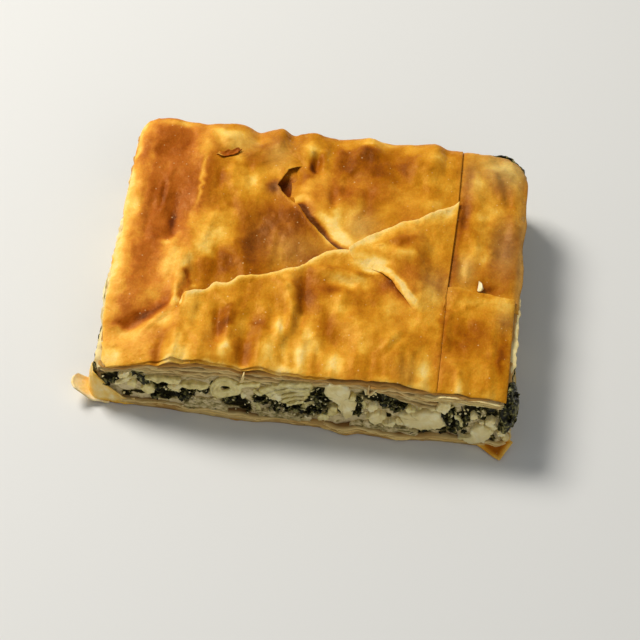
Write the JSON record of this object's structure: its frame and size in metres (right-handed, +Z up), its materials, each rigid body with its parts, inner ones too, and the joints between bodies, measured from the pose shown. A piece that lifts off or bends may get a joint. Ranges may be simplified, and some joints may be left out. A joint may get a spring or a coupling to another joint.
{
  "type": "spanakopita pie slice",
  "caption": "Rectangular cut piece of spanakopita: overlapping browned phyllo leaves on a spinach and feta filling, with a thin pale bottom crust.",
  "frame": {"origin": "centre of the flat underside that the piece rests on", "axes": "+Z up through the layers, +X along the long cut face, +Y away from the front cut face"},
  "size_m": [0.141, 0.115, 0.0278],
  "materials": {
    "browned_crust": "satin buttered phyllo, browned golden to reddish brown on top and pale at the cut",
    "spinach_feta": "moist dark green spinach with pale crumbled feta",
    "pale_crust": "matte pale golden phyllo"
  },
  "bodies": {
    "root": {"top_crust": "browned_crust", "spinach_filling": "spinach_feta", "bottom_crust": "pale_crust"}
  },
  "joints": []
}
